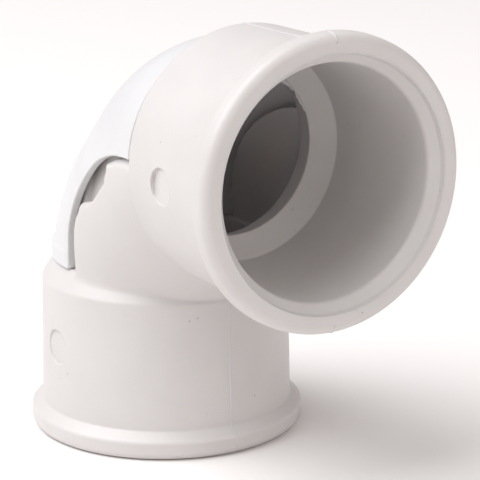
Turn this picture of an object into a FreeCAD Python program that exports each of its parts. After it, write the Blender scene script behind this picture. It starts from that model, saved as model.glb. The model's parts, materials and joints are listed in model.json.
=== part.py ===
"""Inspection elbow for push-fit PVC conduit: a moulded body and a lift-off back cover.

Units are millimetres. The origin is the centre of the seat in the lower socket, where the
end of the conduit stops. +Z runs up the lower socket's axis and +X out of the front socket.
Sizes along a socket are measured from the corner, the point where the two axes cross.
"""
import FreeCAD, Part
import math
import os

V = FreeCAD.Vector

# Driving dimensions of each socket: radius, and distance from the corner along its axis
COLLAR_R = 15.0          # outside of the collar at its shoulder
COLLAR_MOUTH_R = 15.3    # outside of the collar next to the bead, 1 degree of draft
MOUTH = 37.1             # plane of the mouth
SHOULDER = 16.0          # back end of the collar
SHOULDER_IN = 1.55       # bevel of the collar's back edge, across and along
SHOULDER_DOWN = 2.4
BEAD_START = 33.8        # bead round the mouth: a cone, an almost straight side and a rounded front
BEAD_TOP = 34.8
BEAD_TOP_R = 16.72
BEAD_R = 16.58
BEAD_ROUND = 1.15
SEAT = 18.7              # where the conduit's end stops
SEAT_R = 12.6            # cylindrical wall that holds the conduit's end
GAUGE_END = 23.0         # end of that cylindrical wall
CONE_R = 13.3            # radius at the end of the tapered wall
CONE_END = 35.75
MOUTH_R = 14.43          # bevelled lead-in at the mouth
RING_BACK = 13.85        # inner face of the ring that stops the conduit
RING_LIP = 16.75         # inner edge of the ring's dished face
RING_LIP_R = 10.0
RING_BACK_R = 10.6
MARK_AT = 25.7           # ejector marks, on both sides of each collar
MARK_R = 2.1
MARK_DEPTH = 0.25

# Driving dimensions of the tube between the sockets
BEND_CORNER = 13.5       # where the diagonal run would meet each socket axis
BEND_R = 15.0            # radius of the two bends
BEND_ANGLE = math.radians(45)
TUBE_R = 13.8            # outside of the tube
COVER_WALL = 1.05
COVER_GAP = 0.3          # clearance between the cover and the flange beneath it
FLANGE_WALL = 1.0
FOOT_GAP = 0.25          # clearance between the cover's two ends and the collars
FOOT_BAND = 13.8         # start of the straight band at the cover's lower end
FOOT_BAND_R = 13.75
FOOT_BAND_CHAMFER = 0.5
FAR = 40.0               # beyond the object, for cutting shapes
OVERLAP = 1.0            # how far a cutter runs past the face it opens

# Edges in the middle plane as (x, z) from the corner: control points from the lower limb to the front one
COVER_EDGE = [(0.9, -12.3), (0.9, -7.2), (5.9, 0.45), (15.4, 0.45)]
EAR_EDGE = [(2.2, -11.7), (2.2, -7.5), (6.6, 0.05), (14.5, 0.05)]
FLANGE_EDGE = [(-2.0, -11.7), (-2.0, -6.0), (5.0, 3.1), (14.2, 3.1)]
NOTCH = [(0, -7.6), (4.0, -7.4), (7.1, -6.3), (10.1, -3.4), (10.1, FAR), (0, FAR)]

COVER_BORE_R = TUBE_R - COVER_WALL
FLANGE_R = COVER_BORE_R - COVER_GAP
PASSAGE_R = FLANGE_R - FLANGE_WALL
FOOT = SHOULDER - FOOT_GAP


def lower(radius, along):
    """Point on the lower socket's section: radius on +X, distance from the corner down -Z."""
    return V(radius, 0, SEAT - along)


def side(x, z):
    """Point in the elbow's middle plane, counted from the corner."""
    return V(x, 0, SEAT + z)


def face_from(edges):
    return Part.Face(Part.Wire(edges))


def polygon_face(points):
    return Part.Face(Part.makePolygon(points + points[:1]))


def to_front(shape):
    """Mirror a lower-socket shape in the elbow's diagonal plane, which makes the front one."""
    return shape.mirror(V(0, 0, SEAT), V(1, 0, 1))


def collar_solid():
    """Outside of one socket: bevelled shoulder, drafted collar and the bead at the mouth."""
    half = BEAD_ROUND * (1 - math.sqrt(0.5))
    front = Part.Arc(
        lower(BEAD_R, MOUTH - BEAD_ROUND),
        lower(BEAD_R - half, MOUTH - half),
        lower(BEAD_R - BEAD_ROUND, MOUTH),
    )
    outside = [
        lower(0, MOUTH),
        lower(0, SHOULDER),
        lower(COLLAR_R - SHOULDER_IN, SHOULDER),
        lower(COLLAR_R, SHOULDER + SHOULDER_DOWN),
        lower(COLLAR_MOUTH_R, BEAD_START),
        lower(BEAD_TOP_R, BEAD_TOP),
        lower(BEAD_R, MOUTH - BEAD_ROUND),
    ]
    edges = [Part.makeLine(a, b) for a, b in zip(outside, outside[1:])]
    edges.append(front.toShape())
    edges.append(Part.makeLine(lower(BEAD_R - BEAD_ROUND, MOUTH), lower(0, MOUTH)))
    collar = face_from(edges).revolve(V(0, 0, 0), V(0, 0, 1), 360)
    for way in (-1, 1):
        base = V(0, way * (COLLAR_R - MARK_DEPTH), SEAT - MARK_AT)
        collar = collar.cut(Part.makeCylinder(MARK_R, FAR, base, V(0, way, 0)))
    return collar


def socket_bore():
    """Inside of one socket: ring, dished seat, straight wall, taper and bevelled mouth."""
    points = [
        lower(0, RING_BACK - OVERLAP),
        lower(RING_BACK_R, RING_BACK - OVERLAP),
        lower(RING_BACK_R, RING_BACK),
        lower(RING_LIP_R, RING_LIP),
        lower(SEAT_R, SEAT),
        lower(SEAT_R, GAUGE_END),
        lower(CONE_R, CONE_END),
        lower(MOUTH_R, MOUTH),
        lower(MOUTH_R, MOUTH + OVERLAP),
        lower(0, MOUTH + OVERLAP),
    ]
    return polygon_face(points).revolve(V(0, 0, 0), V(0, 0, 1), 360)


def swept_tube(radius):
    """Solid round bar along the bend: 45 degrees, a short diagonal run, 45 degrees."""
    start = BEND_CORNER + BEND_R * math.tan(BEND_ANGLE / 2)
    drop = BEND_R * math.sin(BEND_ANGLE)
    rise = BEND_R * (1 - math.cos(BEND_ANGLE))
    half_drop = BEND_R * math.sin(BEND_ANGLE / 2)
    half_rise = BEND_R * (1 - math.cos(BEND_ANGLE / 2))
    first = Part.Arc(side(0, -start), side(half_rise, half_drop - start), side(rise, drop - start))
    last = Part.Arc(side(start - drop, -rise), side(start - half_drop, -half_rise), side(start, 0))
    run = Part.makeLine(side(rise, drop - start), side(start - drop, -rise))
    path = Part.Wire([first.toShape(), run, last.toShape()])
    ring = Part.Wire(Part.makeCircle(radius, side(0, -start), V(0, 0, 1)))
    return path.makePipeShell([ring], True, False)


def prism(face):
    """Slab through the whole width of the elbow from an outline in its middle plane."""
    face.translate(V(0, -FAR, 0))
    return face.extrude(V(0, 2 * FAR, 0))


def edge_curve(controls):
    """Smooth cheek edge from the lower limb round to the front limb."""
    curve = Part.BezierCurve()
    curve.setPoles([side(x, z) for x, z in controls])
    return curve.toShape()


def outline_face(controls, lower_end, front_end, corners):
    """Area bounded by a cheek edge, its two straight ends and some outer corners."""
    first_x, first_z = controls[0]
    last_x, last_z = controls[-1]
    points = [side(front_end, last_z)] + [side(x, z) for x, z in corners] + [side(first_x, -lower_end)]
    edges = [Part.makeLine(side(first_x, -lower_end), side(first_x, first_z))]
    edges.append(edge_curve(controls))
    edges.append(Part.makeLine(side(last_x, last_z), side(front_end, last_z)))
    for a, b in zip(points, points[1:]):
        edges.append(Part.makeLine(a, b))
    return face_from(edges)


def cover_region():
    """Heel side of the cover's cheek edges."""
    return prism(outline_face(COVER_EDGE, FOOT, FOOT, [(FOOT, FAR), (-FAR, FAR), (-FAR, -FOOT)]))


def ear_region():
    """Throat side of the ears' edges, with the notch where a blade lifts the cover."""
    region = prism(outline_face(EAR_EDGE, SEAT, SEAT, [(SEAT, -SEAT)]))
    return region.cut(prism(polygon_face([side(x, z) for x, z in NOTCH])))


def flange_region():
    """Throat side of the flange's edge, which passes 2.5 mm or more under the cover."""
    return prism(outline_face(FLANGE_EDGE, SEAT, SEAT, [(SEAT, -SEAT)]))


def slab(start, end):
    """Everything from one distance to another down the lower limb."""
    return Part.makeBox(2 * FAR, 2 * FAR, end - start, V(-FAR, -FAR, SEAT - end))


def elbow_body():
    """Both sockets, the throat half of the tube, its two ears and the flange."""
    collar = collar_solid()
    bore = socket_bore()
    inner = swept_tube(FLANGE_R)
    neck = inner.common(slab(RING_BACK, SEAT))
    flange = inner.common(flange_region())
    ears = swept_tube(TUBE_R).common(ear_region())
    passage = swept_tube(PASSAGE_R)
    passage = passage.cut(slab(RING_BACK, FAR))
    passage = passage.cut(to_front(slab(RING_BACK, FAR)))
    body = flange.fuse([ears, neck, to_front(neck), collar, to_front(collar)])
    body = body.cut(passage)
    body = body.cut(bore)
    return body.cut(to_front(bore)).removeSplitter()


def back_cover():
    """Half-round shell over the heel, from one collar to the other."""
    shell = swept_tube(TUBE_R).fuse(foot_band())
    shell = shell.common(cover_region())
    return shell.cut(swept_tube(COVER_BORE_R)).removeSplitter()


def foot_band():
    """Straight band at the cover's lower end, coaxial with the lower socket."""
    points = [
        lower(0, FOOT_BAND),
        lower(FOOT_BAND_R - FOOT_BAND_CHAMFER, FOOT_BAND),
        lower(FOOT_BAND_R, FOOT_BAND + FOOT_BAND_CHAMFER),
        lower(FOOT_BAND_R, FOOT),
        lower(0, FOOT),
    ]
    return polygon_face(points).revolve(V(0, 0, 0), V(0, 0, 1), 360)


def main():
    os.makedirs("parts", exist_ok=True)
    for name, shape in (("elbow_body", elbow_body()), ("back_cover", back_cover())):
        box = shape.BoundBox
        print(name, shape.ShapeType, len(shape.Solids), shape.isValid(), round(shape.Volume, 1))
        print("  box", [round(v, 2) for v in (box.XMin, box.YMin, box.ZMin, box.XMax, box.YMax, box.ZMax)])
        shape.exportStep("parts/" + name + ".step")


main()
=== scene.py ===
"""Visual model of the inspection elbow: a moulded body, its lift-off back cover and the mould's traces.

Shapes are worked out in millimetres from the corner where the two socket axes cross, with +X out of
the front socket and +Z up the lower one, and are turned into metres in the CAD frame at the end.
The body and the cover are signed distance fields, which gives every edge its soft moulded rounding.
A surface net follows each field, and the two mouths are turned from their exact section.
"""
import json
import math
import bmesh
import bpy
import numpy as np
from mathutils import Matrix, Vector


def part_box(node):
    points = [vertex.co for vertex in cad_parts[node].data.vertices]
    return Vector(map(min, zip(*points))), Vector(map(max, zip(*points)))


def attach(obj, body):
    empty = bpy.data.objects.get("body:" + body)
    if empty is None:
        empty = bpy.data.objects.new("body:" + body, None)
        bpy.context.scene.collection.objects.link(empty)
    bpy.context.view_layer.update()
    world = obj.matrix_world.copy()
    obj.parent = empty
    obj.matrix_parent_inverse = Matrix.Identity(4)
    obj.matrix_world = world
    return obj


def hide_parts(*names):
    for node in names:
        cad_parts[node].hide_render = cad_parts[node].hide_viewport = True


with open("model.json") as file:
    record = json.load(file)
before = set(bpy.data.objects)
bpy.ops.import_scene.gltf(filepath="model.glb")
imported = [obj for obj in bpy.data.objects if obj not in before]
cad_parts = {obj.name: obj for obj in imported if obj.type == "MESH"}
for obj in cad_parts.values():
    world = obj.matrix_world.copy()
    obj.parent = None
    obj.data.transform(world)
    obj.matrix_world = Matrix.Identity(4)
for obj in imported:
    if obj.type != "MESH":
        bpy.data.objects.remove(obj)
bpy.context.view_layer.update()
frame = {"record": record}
MM = 0.001

# ---------------------------------------------------------------- sizes, in millimetres
mounts = {m["name"]: m for m in frame["record"]["mounts"]}
body_low, body_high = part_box("elbow_body")
CORNER_Z = mounts["front_socket"]["pos_m"][2]      # metres, height of the corner above the origin
SEAT = CORNER_Z / MM
SEAT_R = mounts["lower_socket"]["dims"]["r_mm"]
MOUTH = body_high.x / MM                           # the mouth's plane
COLLAR_R = 15.0
COLLAR_MOUTH_R = 15.3
SHOULDER = 16.0                                    # the collar's back end
SHOULDER_IN = 1.55                                 # the shoulder's bevel, across and along
SHOULDER_DOWN = 2.4
SHOULDER_ROUND = 0.8
SHOULDER_FILLET = 0.3
BEAD_START = MOUTH - 3.3                           # the bead: a cone, a steep side, a rounded front
BEAD_TOP = MOUTH - 2.3
BEAD_TOP_R = body_high.y / MM
BEAD_R = BEAD_TOP_R - 0.14
BEAD_TOP_ROUND = 0.6
BEAD_ROUND = 1.1
BEAD_FILLET = 0.35
RING_BACK = 13.85                                  # the ring that stops the pipe
RING_BACK_R = 10.6
RING_BACK_ROUND = 0.1
RING_LIP = 16.75
RING_LIP_R = 10.0
RING_LIP_ROUND = 0.12
SEAT_ROUND = 0.15
GAUGE_END = 23.0                                   # end of the cylindrical wall above the seat
GAUGE_ROUND = 1.0
BORE_SOFT = 0.1
LEAD_IN = 1.6                                      # length of the bevel inside the mouth
LEAD_IN_R = 13.25
LEAD_IN_ROUND = 1.0
STEP_IN = 0.5                                      # steep step between the bevel and the mouth
STEP_IN_R = 14.27
STEP_IN_ROUND = 0.25
MOUTH_R = 14.43
EDGE = 0.07                                        # rounding of the mouth's inner edge
MARK_AT = 25.7                                     # ejector marks
MARK_FACE = COLLAR_R + 0.1                         # the collar's side there, with its draft
MARK_R = 2.05
MARK_DEPTH = 0.25
MARK_TILT = 0.25                                   # how far a front mark's floor leans either way
MARK_ROUND = 0.1
FRONT_MARK = (25.4, -0.5)                          # centre of the front collar's marks, a little askew
BEND_CORNER = 13.5                                 # where the diagonal run would meet each socket axis
BEND_R = 15.0
HALF_BEND = math.radians(22.5)
TUBE_R = 13.8
COVER_BORE_R = 12.75
FLANGE_R = 12.45
PASSAGE_R = 11.45
PASSAGE_ROUND = 0.2
CUT_ROUND = 0.12                                   # edges where the bores and marks cut the body
EAR_ROUND = 0.2
EAR_BEVEL = 0.1                                    # the ears' bevel, and what the shelf and ledge add
SHELF_BEVEL = 0.65
LEDGE_BEVEL = 0.3
FLANGE_ROUND = 0.2
FLANGE_FILLET = 0.15
POCKET_DEPTH = 0.5
FOOT = SHOULDER - 0.02                             # the cover's two ends, just off the collars
FOOT_CORNER = 0.3
FOOT_BAND = 13.8                                   # straight band at the cover's lower end
FOOT_BAND_R = 13.75
FOOT_BAND_ROUND = 0.5
FOOT_BAND_FILLET = 0.25
COVER_ROUND = 0.16
COVER_BORE_ROUND = 0.2
COVER_LIMB_X = 0.9                                 # straight ends of the cheek edges in the middle plane
COVER_FRONT_Z = 0.45
EAR_LIMB_X = 2.3
EAR_FRONT_Z = 0.2
FLANGE_LIMB_X = -2
FLANGE_FRONT_Z = 3.1
SPLIT = 29.5                                       # the net ends here, and the turned mouth starts
NET_STEP = 0.2


# ---------------------------------------------------------------- distance fields
def smooth_min(a, b, width):
    """Union of two fields with a fillet."""
    h = np.maximum(width - np.abs(a - b), 0.0) / width
    return np.minimum(a, b) - h * h * width / 4


def smooth_max(a, b, width):
    """Intersection of two fields with a rounded edge."""
    return -smooth_min(-a, -b, width)


def polygon_distance(outline, u, v):
    """Signed distance to a closed outline, negative inside."""
    best = np.full(u.shape, 1e9)
    inside = np.zeros(u.shape, bool)
    for (au, av), (bu, bv) in zip(outline, outline[1:] + outline[:1]):
        eu, ev = bu - au, bv - av
        wu, wv = u - au, v - av
        along = np.clip((wu * eu + wv * ev) / max(eu * eu + ev * ev, 1e-12), 0, 1)
        best = np.minimum(best, (wu - eu * along) ** 2 + (wv - ev * along) ** 2)
        if ev:
            inside ^= ((av > v) != (bv > v)) & (u < eu * (v - av) / ev + au)
    return np.sqrt(best) * np.where(inside, -1.0, 1.0)


class Chart:
    """A flat outline's distance field, kept on a fine grid with its corners softened."""
    STEP = 0.05

    def __init__(self, outline, low, high, soften):
        self.low = low
        self.size = [int((h - l) / self.STEP) + 2 for l, h in zip(low, high)]
        u, v = np.meshgrid(*(l + self.STEP * np.arange(n) for l, n in zip(low, self.size)), indexing="ij")
        table = polygon_distance(outline, u, v)
        reach = int(round(soften / self.STEP / 2))
        for axis in (0, 1) if reach else ():
            shifted = [np.roll(table, k, axis) for k in range(-reach, reach + 1)]
            table = sum(shifted) / len(shifted)
        self.table = table.astype(np.float32)

    def __call__(self, u, v):
        a = np.clip((u - self.low[0]) / self.STEP, 0, self.size[0] - 1.001)
        b = np.clip((v - self.low[1]) / self.STEP, 0, self.size[1] - 1.001)
        i, j = a.astype(np.int32), b.astype(np.int32)
        a, b = a - i, b - j
        t = self.table
        near = t[i, j] * (1 - a) + t[i + 1, j] * a
        far = t[i, j + 1] * (1 - a) + t[i + 1, j + 1] * a
        return near * (1 - b) + far * b


def arc(centre, radii, start, end, count):
    """Points on an ellipse's arc, angles in degrees."""
    angles = np.radians(np.linspace(start, end, count))
    return [(centre[0] + radii[0] * math.cos(t), centre[1] + radii[1] * math.sin(t)) for t in angles]


def bezier(controls, count=24):
    """Points on a cubic curve."""
    p = [np.array(c, float) for c in controls]
    points = []
    for t in np.linspace(0, 1, count):
        early = (1 - t) ** 3 * p[0] + 3 * t * (1 - t) ** 2 * p[1]
        points.append(tuple(early + 3 * t * t * (1 - t) * p[2] + t ** 3 * p[3]))
    return points


def rounded(corners, radii):
    """An open outline with its inner corners replaced by arcs."""
    points = [corners[0]]
    for before, corner, after, radius in zip(corners, corners[1:], corners[2:], radii):
        corner = Vector(corner)
        back, ahead = (Vector(before) - corner).normalized(), (Vector(after) - corner).normalized()
        half = back.angle(ahead) / 2
        centre = corner + (back + ahead).normalized() * (radius / math.sin(half))
        start, end = (corner + way * (radius / math.tan(half)) - centre for way in (back, ahead))
        turn = start.angle_signed(end)
        count = max(2, int(abs(turn) / math.radians(4)))
        for k in range(count + 1):
            points.append(tuple(centre + Matrix.Rotation(-turn * k / count, 2) @ start))
    return points + [corners[-1]]


def collar_corners():
    """Corners of a socket's outside as (radius, distance along its axis), and their rounding."""
    corners = [
        (COLLAR_R - SHOULDER_IN, SHOULDER),
        (COLLAR_R, SHOULDER + SHOULDER_DOWN),
        (COLLAR_MOUTH_R, BEAD_START),
        (BEAD_TOP_R, BEAD_TOP),
        (BEAD_R, MOUTH),
        (MOUTH_R, MOUTH),
    ]
    return corners, [SHOULDER_ROUND, BEAD_FILLET, BEAD_TOP_ROUND, BEAD_ROUND, EDGE]


def bore_corners():
    """Corners of a socket's inside, from behind its ring to the mouth, and their rounding."""
    corners = [
        (RING_BACK_R, RING_BACK - 1),
        (RING_BACK_R, RING_BACK),
        (RING_LIP_R, RING_LIP),
        (SEAT_R, SEAT),
        (SEAT_R, GAUGE_END),
        (LEAD_IN_R, MOUTH - LEAD_IN),
        (STEP_IN_R, MOUTH - STEP_IN),
        (MOUTH_R, MOUTH),
    ]
    radii = [RING_BACK_ROUND, RING_LIP_ROUND, SEAT_ROUND, GAUGE_ROUND, LEAD_IN_ROUND, STEP_IN_ROUND, EDGE]
    return corners, radii


def wall_radius(along, start, end):
    """Radius of a straight wall between two corners of an outline."""
    return start[0] + (end[0] - start[0]) * (along - start[1]) / (end[1] - start[1])


def socket_charts():
    """Charts of a socket's outside and of its bore, as (radius, distance along its axis)."""
    low, high = (-1, RING_BACK - 3), (18, MOUTH + 2)
    corners, radii = collar_corners()
    outside = [(-2, SHOULDER)] + rounded(corners[:-1] + [(-2, MOUTH)], radii)
    corners, radii = bore_corners()
    bore = [(-2, RING_BACK - 1)] + rounded(corners + [(MOUTH_R, MOUTH + 3)], radii) + [(-2, MOUTH + 3)]
    return Chart(outside, low, high, 0.0), Chart(bore, low, high, BORE_SOFT)


def path_offset(x, z):
    """Distance outwards from the bend's centre line in the middle plane."""
    upper = x + z > 0
    a, b = np.where(upper, -z, x), np.where(upper, -x, z)
    start = BEND_CORNER + BEND_R * math.tan(HALF_BEND)
    turned = np.arctan2(b + start, BEND_R - a)
    bend = np.hypot(a - BEND_R, b + start) - BEND_R
    diagonal = (BEND_CORNER + b - a) / math.sqrt(2)
    return np.where(b < -start, -a, np.where(turned < 2 * HALF_BEND, bend, diagonal))


def tube(offset, y, radius):
    """Distance to a round bar along the bend."""
    return np.hypot(offset, y) - radius


SIDE = 20                                          # half the width of a middle-plane chart
LOW, HIGH = (-SIDE, -SIDE), (SIDE, SIDE)
FAR = 30                                           # beyond the charts
CHART_SOCKET, CHART_BORE = socket_charts()

# An ear in the middle plane: up the lower limb, over the notch's ledge, up its far side and along the shelf
LIMB_EDGE = bezier([(EAR_LIMB_X, -12.5), (EAR_LIMB_X, -10.6), (2.7, -9.4), (3.2, -8.4)], 8)
LEDGE = bezier([(3.5, -7.6), (3.9, -6.9), (4.6, -7.1), (5.2, -6.8)], 8)
NOTCH_SIDE = [(7.0, -6.35), (10.15, -3.35), (10.05, -1.7)]
SHELF = bezier([(10.1, -1.3), (10.3, -0.8), (12.8, 0.15), (15.4, EAR_FRONT_Z)], 12)
EAR = [(SIDE, -SIDE), (EAR_LIMB_X, -SIDE)] + LIMB_EDGE + LEDGE + NOTCH_SIDE + SHELF + [(SIDE, EAR_FRONT_Z)]
CHART_EAR = Chart(EAR, LOW, HIGH, 0.3)

FLANGE_CURVE = [(FLANGE_LIMB_X, -11.7), (FLANGE_LIMB_X, -6.0), (5.0, FLANGE_FRONT_Z), (14.2, FLANGE_FRONT_Z)]
FLANGE = [(SIDE, -SIDE), (FLANGE_LIMB_X, -SIDE)] + bezier(FLANGE_CURVE) + [(SIDE, FLANGE_FRONT_Z)]
CHART_FLANGE = Chart(FLANGE, LOW, HIGH, 0.0)

COVER_CURVE = [(COVER_LIMB_X, -12.3), (COVER_LIMB_X, -7.2), (5.9, COVER_FRONT_Z), (15.4, COVER_FRONT_Z)]
COVER = arc((COVER_LIMB_X - FOOT_CORNER, FOOT_CORNER - FOOT), (FOOT_CORNER, FOOT_CORNER), -90, 0, 6)
COVER += bezier(COVER_CURVE) + [(FOOT, COVER_FRONT_Z), (FOOT, FAR), (-FAR, FAR), (-FAR, -FOOT)]
CHART_COVER = Chart(COVER, LOW, HIGH, 0.2)


def sockets(x, y, z, chart):
    """A socket chart turned round the lower axis and round the front one."""
    return np.minimum(chart(np.hypot(x, y), -z), chart(np.hypot(z, y), x))


def step_up(value, start, end):
    """0 below start and 1 above end, smooth between them."""
    share = np.clip((value - start) / (end - start), 0, 1)
    return share * share * (3 - 2 * share)


def marks(x, y, z):
    """The round hollows that ejector pins left on both sides of each collar. The front ones' floors lean."""
    in_front = step_up(x, 15, 20)
    depth = MARK_DEPTH + MARK_TILT * np.clip((MARK_AT - x) / MARK_R, -1, 1) * in_front
    to_lower = np.hypot(x, z + MARK_AT)
    to_front = np.hypot(x - FRONT_MARK[0], z - FRONT_MARK[1])
    return smooth_max(np.minimum(to_lower, to_front) - MARK_R, MARK_FACE - depth - np.abs(y), MARK_ROUND)


def ear_bevel(x, z):
    """Width of the bevel on the ears' edges: wide on the front shelf and the ledge, thin elsewhere."""
    shelf = step_up(x, 9.6, 10.8) * step_up(z, -3.0, -2.0)
    ledge = (1 - step_up(x, 5.8, 6.8)) * (1 - step_up(z, -6.5, -6.0)) * step_up(z, -9.6, -8.2)
    return EAR_BEVEL + np.maximum(SHELF_BEVEL * shelf, LEDGE_BEVEL * ledge)


def bevelled(a, b, width, round_by):
    """Intersection of two fields with a bevel across their edge."""
    return smooth_max(smooth_max(a, b, round_by), (a + b + width) / math.sqrt(2), round_by)


def pocket(x, z):
    """Extra depth of the flange in the notch, where the lifting blade goes in."""
    across = step_up(x, 2.0, 3.2) * (1 - step_up(x, 10.0, 11.2))
    return POCKET_DEPTH * across * step_up(z, -8.4, -7.2)


def body_field(x, y, z):
    """Distance to the body moulding: ears, flange and sockets joined, less the passage and the bores."""
    offset = path_offset(x, z)
    inner_tube = tube(offset, y, FLANGE_R)
    ears = bevelled(tube(offset, y, TUBE_R), CHART_EAR(x, z), ear_bevel(x, z), EAR_ROUND)
    flange = smooth_max(inner_tube + pocket(x, z), CHART_FLANGE(x, z), FLANGE_ROUND)
    neck = np.maximum(inner_tube, RING_BACK - np.maximum(-z, x))
    solid = smooth_min(ears, np.minimum(flange, neck), FLANGE_FILLET)
    solid = smooth_min(solid, sockets(x, y, z, CHART_SOCKET), SHOULDER_FILLET)
    passage = smooth_max(tube(offset, y, PASSAGE_R), np.maximum(-z, x) - RING_BACK, PASSAGE_ROUND)
    hollow = np.minimum(passage, sockets(x, y, z, CHART_BORE))
    solid = smooth_max(solid, -hollow, CUT_ROUND)
    return smooth_max(solid, -marks(x, y, z), CUT_ROUND)


def cover_field(x, y, z):
    """Distance to the cover: the heel side of a thin tube, with a straight band at its foot."""
    offset = path_offset(x, z)
    band = smooth_max(np.hypot(x, y) - FOOT_BAND_R, FOOT_BAND + z, FOOT_BAND_ROUND)
    shell = smooth_min(tube(offset, y, TUBE_R), band, FOOT_BAND_FILLET)
    shell = smooth_max(shell, CHART_COVER(x, z), COVER_ROUND)
    return smooth_max(shell, -tube(offset, y, COVER_BORE_R), COVER_BORE_ROUND)


# ---------------------------------------------------------------- from fields to meshes
def gradient(field, points, reach=0.04):
    """Slope of a field, from its values a little to each side."""
    steps = np.eye(3) * reach
    rows = [field(*(points + s).T) - field(*(points - s).T) for s in steps]
    return np.stack(rows, 1) / (2 * reach)


def settle(field, points, rounds=4):
    """Moves points onto the field's surface, and gives their normals."""
    for _ in range(rounds):
        slope = gradient(field, points)
        size = np.maximum((slope ** 2).sum(1), 0.05)
        move = slope * (field(*points.T) / size)[:, None]
        points = points - np.clip(move, -NET_STEP, NET_STEP)
    slope = gradient(field, points)
    return points, slope / np.maximum(np.linalg.norm(slope, axis=1), 1e-9)[:, None]


CORNERS = np.array([(i, j, k) for i in (0, 1) for j in (0, 1) for k in (0, 1)])
CELL_EDGES = [(a, b) for a in range(8) for b in range(a + 1, 8) if np.abs(CORNERS[a] - CORNERS[b]).sum() == 1]


def surface_net(field, low, high, step=NET_STEP):
    """Points and quads along the field's zero surface, one point in each cell that it crosses."""
    axes = [np.arange(l, h + step / 2, step) for l, h in zip(low, high)]
    values = field(axes[0][:, None, None], axes[1][None, :, None], axes[2][None, None, :]).astype(np.float32)
    inside = values < 0
    shape = [n - 1 for n in inside.shape]
    window = [tuple(slice(c, c + n) for c, n in zip(corner, shape)) for corner in CORNERS]
    count = sum(inside[w].astype(np.int8) for w in window)
    cells = np.argwhere((count > 0) & (count < 8))
    number = np.full(shape, -1, np.int32)
    number[tuple(cells.T)] = np.arange(len(cells))
    at = np.stack([values[tuple((cells + c).T)] for c in CORNERS], 1)
    total, hits = np.zeros((len(cells), 3)), np.zeros(len(cells))
    for a, b in CELL_EDGES:
        cut = (at[:, a] < 0) != (at[:, b] < 0)
        share = np.where(cut, at[:, a] / np.where(cut, at[:, a] - at[:, b], 1), 0)
        total += np.where(cut[:, None], CORNERS[a] + share[:, None] * (CORNERS[b] - CORNERS[a]), 0)
        hits += cut
    points = (cells + total / hits[:, None]) * step + np.array([a[0] for a in axes])
    quads = []
    for axis in range(3):
        near, far = [slice(1, -1)] * 3, [slice(1, -1)] * 3
        near[axis], far[axis] = slice(0, -1), slice(1, None)
        leaving = inside[tuple(near)]
        crossed = np.argwhere(leaving != inside[tuple(far)])
        leaving = leaving[tuple(crossed.T)]
        base = crossed + [0 if k == axis else 1 for k in range(3)]
        ring = []
        for back in ((1, 1), (0, 1), (0, 0), (1, 0)):
            cell = base.copy()
            cell[:, (axis + 1) % 3] -= back[0]
            cell[:, (axis + 2) % 3] -= back[1]
            ring.append(number[tuple(cell.T)])
        ring = np.stack(ring, 1)
        quads.append(np.where(leaving[:, None], ring, ring[:, ::-1]))
    return points, np.concatenate(quads)


def make_mesh(name, points, faces):
    mesh = bpy.data.meshes.new(name)
    mesh.from_pydata([tuple(p) for p in points], [], [tuple(int(i) for i in f) for f in faces])
    mesh.update()
    return mesh


def thinned(name, points, faces, share):
    """The mesh with fewer faces where it is smooth."""
    piece = bpy.data.objects.new(name, make_mesh(name, points, faces))
    bpy.context.scene.collection.objects.link(piece)
    modifier = piece.modifiers.new("thin", "DECIMATE")
    modifier.ratio = share
    mesh = bpy.data.meshes.new_from_object(piece.evaluated_get(bpy.context.evaluated_depsgraph_get()))
    bpy.data.objects.remove(piece)
    points = np.zeros(len(mesh.vertices) * 3)
    mesh.vertices.foreach_get("co", points)
    return points.reshape(-1, 3), [tuple(p.vertices) for p in mesh.polygons]


def net_of(name, field, low, high, share):
    """A field's surface as points, faces and normals."""
    points, faces = surface_net(field, low, high)
    points, _ = settle(field, points)
    points, faces = thinned(name, points, faces, share)
    points, normals = settle(field, points)
    return points, faces, normals


def open_loops(faces):
    """The closed chains of points along a mesh's open edges."""
    edges = {(a, b): None for face in faces for a, b in zip(face, face[1:] + face[:1])}
    following = {a: b for a, b in edges if (b, a) not in edges}
    loops = []
    while following:
        start = next(iter(following))
        loop, at = [start], following.pop(start)
        while at != start:
            loop.append(at)
            at = following.pop(at)
        loops.append(loop)
    return loops


def turned_section():
    """A mouth beyond the net as (radius, distance along), from the wall outside round to the wall inside."""
    joint = SPLIT + 2 * NET_STEP
    collar, collar_radii = collar_corners()
    bore, bore_radii = bore_corners()
    corners = [(wall_radius(joint, *collar[1:3]), joint)] + collar[2:] + bore[-2:-4:-1]
    corners += [(wall_radius(joint, *bore[-4:-2]), joint)]
    return np.array(rounded(corners, collar_radii[1:] + bore_radii[-2:-4:-1]))


def turned_normals(section):
    """Unit normals of a section, out of the plastic."""
    step = np.diff(section, axis=0)
    step /= np.linalg.norm(step, axis=1)[:, None]
    along = np.vstack([step[:1], step[:-1] + step[1:], step[-1:]])
    along /= np.linalg.norm(along, axis=1)[:, None]
    return np.stack([along[:, 1], -along[:, 0]], 1)


def zipped(loop, angles, ring, ring_angles):
    """Triangles between an open loop and a ring, both in order of their angle."""
    faces, i, j = [], 0, 0
    while i < len(loop) or j < len(ring):
        next_loop = angles[i + 1] if i < len(loop) else np.inf
        next_ring = ring_angles[j + 1] if j < len(ring) else np.inf
        a, b = loop[i % len(loop)], ring[j % len(ring)]
        if next_loop < next_ring:
            i += 1
            faces.append((a, loop[i % len(loop)], b))
        else:
            j += 1
            faces.append((a, ring[j % len(ring)], b))
    return faces


def turned_rings(rows, circle, place):
    """Each (out, along) row turned into a ring of points or normals."""
    return [np.column_stack([out * circle, np.full(SEGMENTS, along)]) @ place.T for out, along in rows]


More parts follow.
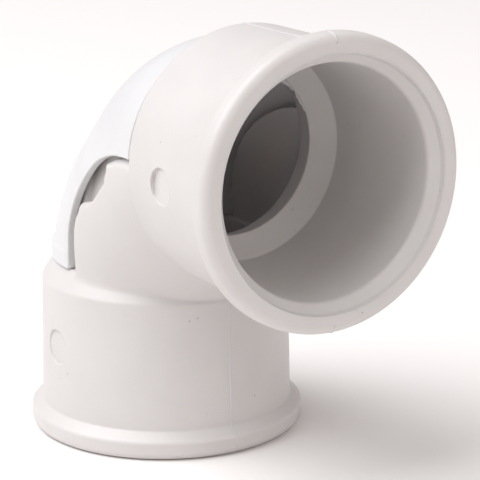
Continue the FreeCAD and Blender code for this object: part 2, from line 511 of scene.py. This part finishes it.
def add_mouth(points, faces, normals, loops, place):
    """Turns a mouth and joins it to the net's two open loops there.

    place turns (u, v, along) into (x, y, z).
    """
    section = turned_section()
    slopes = turned_normals(section)
    turns = np.arange(SEGMENTS) * (2 * math.pi / SEGMENTS)
    circle = np.stack([np.cos(turns), np.sin(turns)], 1)
    first = len(points)
    points = np.vstack([points] + turned_rings(section, circle, place))
    normals = np.vstack([normals] + turned_rings(slopes, circle, place))
    for row in range(len(section) - 1):
        for k in range(SEGMENTS):
            a, b = first + row * SEGMENTS + k, first + row * SEGMENTS + (k + 1) % SEGMENTS
            faces.append((a, b, b + SEGMENTS, a + SEGMENTS))
    for loop, row in zip(loops, (0, len(section) - 1)):
        u, v, _ = (points[loop] @ place).T
        angles = np.unwrap(np.arctan2(v, u))
        if angles[-1] < angles[0]:
            loop, angles = loop[::-1], angles[::-1]
        angles = np.mod(angles, 2 * math.pi)
        start = int(np.argmin(angles))
        loop = loop[start:] + loop[:start]
        angles = np.unwrap(np.roll(angles, -start))
        ring = [first + row * SEGMENTS + k for k in range(SEGMENTS)]
        faces += zipped(loop, np.append(angles, angles[0] + 2 * math.pi), ring, np.append(turns, 2 * math.pi))
    return points, faces, normals


LOWER_PLACE = np.array([[1, 0, 0], [0, 1, 0], [0, 0, -1]])
FRONT_PLACE = np.array([[0, 0, 1], [0, 1, 0], [-1, 0, 0]])


def loops_at(points, loops, axis, sign):
    """The two open loops at one mouth, the outer one first."""
    here = [loop for loop in loops if sign * points[loop][:, axis].mean() > SPLIT - 1]
    return sorted(here, key=lambda loop: -np.ptp(points[loop][:, 1]))


def finished_piece(name, points, faces, normals, body, material):
    """A closed mesh in metres in the CAD frame, shaded by its own exact normals."""
    placed = points * MM + np.array([0, 0, CORNER_Z])
    mesh = make_mesh(name, placed, faces)
    tidy = bmesh.new()
    tidy.from_mesh(mesh)
    bmesh.ops.recalc_face_normals(tidy, faces=tidy.faces)
    tidy.to_mesh(mesh)
    tidy.free()
    mesh.shade_smooth()
    if normals is not None:
        mesh.normals_split_custom_set_from_vertices([tuple(n) for n in normals])
    mesh.materials.append(material)
    piece = bpy.data.objects.new(name, mesh)
    bpy.context.scene.collection.objects.link(piece)
    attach(piece, body)
    return piece


# ---------------------------------------------------------------- materials
def node(tree, kind, **inputs):
    """A shader node with its plain inputs set. Underscores in the names stand for spaces."""
    made = tree.nodes.new(kind)
    for name, value in inputs.items():
        made.inputs[name.replace("_", " ")].default_value = value
    return made


def noise(tree, place, scale, detail=3.0):
    made = node(tree, "ShaderNodeTexNoise", Scale=scale, Detail=detail, Roughness=0.55)
    tree.links.new(place, made.inputs["Vector"])
    return made.outputs["Fac"]


def ramp(tree, value, start, end):
    """0 below start and 1 above end, smooth between them."""
    made = node(tree, "ShaderNodeMapRange", Value=0.5, From_Min=start, From_Max=end)
    made.interpolation_type = "SMOOTHSTEP"
    tree.links.new(value, made.inputs["Value"])
    return made.outputs["Result"]


def mixed(tree, share, first, second):
    """Between two colours. A colour is a tuple or another node's output."""
    made = tree.nodes.new("ShaderNodeMix")
    made.data_type = "RGBA"
    tree.links.new(share, made.inputs["Factor"])
    for value, socket in ((first, made.inputs["A"]), (second, made.inputs["B"])):
        if isinstance(value, tuple):
            socket.default_value = (*value, 1)
        else:
            tree.links.new(value, socket)
    return made.outputs["Result"]


def product(tree, value, factor):
    """A value times a number or another node's output."""
    made = tree.nodes.new("ShaderNodeMath")
    made.operation = "MULTIPLY"
    tree.links.new(value, made.inputs[0])
    if isinstance(factor, float):
        made.inputs[1].default_value = factor
    else:
        tree.links.new(factor, made.inputs[1])
    return made.outputs[0]


def pvc(name, light, shade):
    """Moulded white PVC: faint flow clouding, fine grain, a few dark specks and an uneven shine."""
    material = bpy.data.materials.new(name)
    material.use_nodes = True
    tree = material.node_tree
    shader = tree.nodes["Principled BSDF"]
    place = tree.nodes.new("ShaderNodeTexCoord").outputs["Object"]

    clouds = noise(tree, place, 95, 4.0)
    colour = mixed(tree, ramp(tree, clouds, 0.3, 0.7), light, shade)
    grain = noise(tree, place, 5200, 2.0)
    darker = tuple(c * 0.93 for c in shade)
    colour = mixed(tree, product(tree, ramp(tree, grain, 0.35, 0.75), 0.10), colour, darker)

    dots = node(tree, "ShaderNodeTexVoronoi", Scale=900)
    tree.links.new(place, dots.inputs["Vector"])
    few = ramp(tree, noise(tree, place, 310, 0.0), 0.70, 0.76)
    near = ramp(tree, dots.outputs["Distance"], 0.13, 0.07)
    speck = product(tree, few, near)
    colour = mixed(tree, product(tree, speck, 0.5), colour, (0.20, 0.17, 0.15))
    tree.links.new(colour, shader.inputs["Base Color"])

    polish = node(tree, "ShaderNodeMapRange", To_Min=0.36, To_Max=0.47)
    tree.links.new(noise(tree, place, 260, 3.0), polish.inputs["Value"])
    tree.links.new(polish.outputs["Result"], shader.inputs["Roughness"])
    shader.inputs["IOR"].default_value = 1.53
    shader.inputs["Subsurface Weight"].default_value = 0.12
    shader.inputs["Subsurface Radius"].default_value = (1.0, 0.75, 0.6)
    shader.inputs["Subsurface Scale"].default_value = 0.0012

    ripple = node(tree, "ShaderNodeBump", Strength=0.10, Distance=0.00012)
    tree.links.new(noise(tree, place, 240, 2.0), ripple.inputs["Height"])
    peel = node(tree, "ShaderNodeBump", Strength=0.12, Distance=0.00002)
    tree.links.new(noise(tree, place, 4200, 2.0), peel.inputs["Height"])
    tree.links.new(ripple.outputs["Normal"], peel.inputs["Normal"])
    tree.links.new(peel.outputs["Normal"], shader.inputs["Normal"])
    return material


BODY_PVC = pvc("body_pvc_white", (0.66, 0.638, 0.628), (0.63, 0.606, 0.596))
COVER_PVC = pvc("cover_pvc_white", (0.69, 0.69, 0.70), (0.66, 0.66, 0.668))


# ---------------------------------------------------------------- the body and the cover
SEGMENTS = 192                                     # faces round a turned mouth
EDGE_OF_NET = SPLIT + NET_STEP / 2
COLLAR_SIDE = 15.7                                 # just outside the collars
COVER_SIDE = 14.5                                  # just outside the cover, and its heel and its ends
COVER_HEEL = 15.1
COVER_END = 17.5
BODY_SHARE = 0.265                                 # faces kept when a net is thinned
COVER_SHARE = 0.42

low, high = (-COLLAR_SIDE, -COLLAR_SIDE, -EDGE_OF_NET), (EDGE_OF_NET, COLLAR_SIDE, COLLAR_SIDE)
points, faces, normals = net_of("body_net", body_field, low, high, BODY_SHARE)
loops = open_loops(faces)
for axis, sign, place in ((2, -1, LOWER_PLACE), (0, 1, FRONT_PLACE)):
    points, faces, normals = add_mouth(points, faces, normals, loops_at(points, loops, axis, sign), place)
body = finished_piece("elbow_shell", points, faces, normals, "elbow", BODY_PVC)
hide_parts("elbow_body")

low, high = (-COVER_HEEL, -COVER_SIDE, -COVER_END), (COVER_END, COVER_SIDE, COVER_HEEL)
points, faces, normals = net_of("cover_net", cover_field, low, high, COVER_SHARE)
cover = finished_piece("heel_cover_shell", points, faces, normals, "cover", COVER_PVC)
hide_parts("back_cover")


# ---------------------------------------------------------------- traces of the mould
RIDGE_STEP = 0.3
ROOT = 0.1                                         # how deep a ridge's foot sits in the plastic


def lofted(name, sections, body, material, closed=False):
    """A closed strip through equal rings of points."""
    sections = np.array(sections)
    count, size = sections.shape[:2]
    faces = []
    for row in range(count if closed else count - 1):
        after = (row + 1) % count
        for k in range(size):
            ahead = (k + 1) % size
            faces.append((row * size + k, row * size + ahead, after * size + ahead, after * size + k))
    if not closed:
        faces += [tuple(range(size)), tuple(range(count * size - 1, (count - 1) * size - 1, -1))]
    return finished_piece(name, sections.reshape(-1, 3), faces, None, body, material)


def even_points(outline, step):
    """Points at even steps along an outline."""
    outline = np.array(outline)
    along = np.append(0, np.cumsum(np.linalg.norm(np.diff(outline, axis=0), axis=1)))
    wanted = np.linspace(0, along[-1], int(along[-1] / step) + 1)
    return np.stack([np.interp(wanted, along, outline[:, k]) for k in range(2)], 1)


def wavering(rng, count, reach=9):
    """Random values that change slowly, with a spread of about 1."""
    return np.convolve(rng.normal(0, 1, count + reach - 1), np.ones(reach) / math.sqrt(reach), "valid")


def parting_line(name, place, angle, rng, stop=MOUTH, width=0.2, height=0.08):
    """The fine ridge that the mould's two halves left along a collar and over its bead."""
    corners, radii = collar_corners()
    path = even_points(rounded(corners, radii), RIDGE_STEP)[2:-3]
    path = path[path[:, 1] <= stop]
    slopes = turned_normals(path)
    spin = math.radians(angle)
    sections = []
    for (radius, along), (out, forward), lift in zip(path, slopes, wavering(rng, len(path))):
        high = height * (1 + 0.25 * lift)
        profile = [(-0.7, -ROOT), (-0.5, 0.0), (-0.2, high), (0.2, high), (0.5, 0.0), (0.7, -ROOT)]
        section = []
        for across, rise in profile:
            u, v = radius + out * rise, across * width
            x, y = u * math.cos(spin) - v * math.sin(spin), u * math.sin(spin) + v * math.cos(spin)
            section.append(place @ (x, y, along + forward * rise))
        sections.append(section)
    lofted(name, sections, "elbow", BODY_PVC)


def ring_flash(rng):
    """Thin torn flash on the inner edge of the front stop ring."""
    angles = np.radians(np.arange(20, 66, 0.8))
    ragged = np.convolve(rng.random(len(angles) + 4), np.ones(5) / 5, "valid")
    fade = np.sin((angles - angles[0]) / (angles[-1] - angles[0]) * math.pi) ** 0.5
    sections = []
    for angle, torn, share in zip(angles, ragged, fade):
        reach = 0.03 + 1.3 * share * max(torn - 0.25, 0.0)
        bend = 0.25 * share * torn
        rings = ((RING_LIP_R + 0.12, RING_LIP), (RING_LIP_R - reach, RING_LIP + bend),
                 (RING_LIP_R - reach, RING_LIP + bend - 0.05), (RING_LIP_R + 0.12, RING_LIP - 0.16))
        sections.append([(along, r * math.cos(angle), r * math.sin(angle)) for r, along in rings])
    lofted("ring_flash", sections, "elbow", BODY_PVC)


def mouth_burr(name, place, rng, height=0.06, count=240):
    """A faint raised line round the mouth's inner edge, where the core met the cavity."""
    turns = np.arange(count) * (2 * math.pi / count)
    sections = []
    for turn, lift in zip(turns, wavering(rng, count)):
        high = height * (1 + 0.3 * lift)
        ring = ((MOUTH_R + 0.16, MOUTH - 0.05), (MOUTH_R + 0.12, MOUTH), (MOUTH_R + 0.04, MOUTH + high),
                (MOUTH_R - 0.02, MOUTH + 0.5 * high), (MOUTH_R + 0.02, MOUTH - 0.1))
        sections.append([place @ (r * math.cos(turn), r * math.sin(turn), along) for r, along in ring])
    lofted(name, sections, "elbow", BODY_PVC, closed=True)


rng = np.random.default_rng(25)
OFF_FLOOR = MOUTH - 0.4
parting_line("parting_line_lower_throat", LOWER_PLACE, 0, rng, OFF_FLOOR)
parting_line("parting_line_lower_heel", LOWER_PLACE, 180, rng, OFF_FLOOR)
parting_line("parting_line_front_top", FRONT_PLACE, 180, rng, MOUTH, 0.18, 0.1)
parting_line("parting_line_front_bottom", FRONT_PLACE, 0, rng)
ring_flash(rng)
mouth_burr("front_mouth_burr", FRONT_PLACE, rng)


# ---------------------------------------------------------------- floor, light and camera
def floor():
    """A wide sheet of pale paper, a hair below the lower mouth."""
    height = body_low.z - 0.00001
    bpy.ops.mesh.primitive_grid_add(x_subdivisions=8, y_subdivisions=8, size=6, location=(0, 0, height))
    ground = bpy.context.object
    ground.name = "studio_floor"
    material = bpy.data.materials.new("floor_paper")
    material.use_nodes = True
    tree = material.node_tree
    shader = tree.nodes["Principled BSDF"]
    place = tree.nodes.new("ShaderNodeTexCoord").outputs["Object"]
    colour = mixed(tree, noise(tree, place, 3.0), (0.90, 0.88, 0.87), (0.89, 0.87, 0.86))
    tree.links.new(colour, shader.inputs["Base Color"])
    shader.inputs["Roughness"].default_value = 0.9
    ground.data.materials.append(material)


def softbox(name, place, size, power, colour, aim=(0.008, 0, 0.008)):
    """A square area light facing aim, in metres and watts."""
    data = bpy.data.lights.new(name, "AREA")
    data.shape = "SQUARE"
    data.size = size
    data.energy = power
    data.color = colour
    lamp = bpy.data.objects.new(name, data)
    lamp.location = place
    lamp.rotation_euler = (Vector(place) - Vector(aim)).to_track_quat("Z", "Y").to_euler()
    bpy.context.scene.collection.objects.link(lamp)


def studio():
    """A soft key from the left above, a weak fill in front and an even, slightly warm surround."""
    world = bpy.data.worlds.new("studio")
    bpy.context.scene.world = world
    world.use_nodes = True
    background = world.node_tree.nodes["Background"]
    background.inputs["Color"].default_value = (1.0, 0.945, 0.93, 1)
    background.inputs["Strength"].default_value = 0.46
    softbox("key_left", (-0.137, -0.53, 0.84), 1.0, 12.4, (0.975, 0.985, 1.0))
    softbox("fill_front", (0.75, 0.2, 0.45), 0.5, 1.1, (1.0, 0.96, 0.94))
    bpy.context.scene.view_settings.view_transform = "Standard"


def camera():
    """A long lens looking down on the elbow from its front left."""
    azimuth, height, roll = math.radians(-31.691), math.radians(15.506), math.radians(-0.218)
    distance, across, up_by = 0.2808, 0.00922, -0.01406
    level = math.cos(height)
    back = Vector((math.cos(azimuth) * level, math.sin(azimuth) * level, math.sin(height)))
    right = (-back).cross(Vector((0, 0, 1))).normalized()
    up = right.cross(-back)
    right, up = (right * math.cos(roll) + up * math.sin(roll), up * math.cos(roll) - right * math.sin(roll))
    data = bpy.data.cameras.new("camera")
    data.lens = 175.0
    data.sensor_width = 36.0
    data.clip_start = 0.01
    data.clip_end = 20
    lens = bpy.data.objects.new("camera", data)
    lens.matrix_world = Matrix((right, up, back)).transposed().to_4x4()
    lens.location = Vector((0, 0, CORNER_Z)) + back * distance + right * across + up * up_by
    bpy.context.scene.collection.objects.link(lens)
    bpy.context.scene.camera = lens


floor()
studio()
camera()
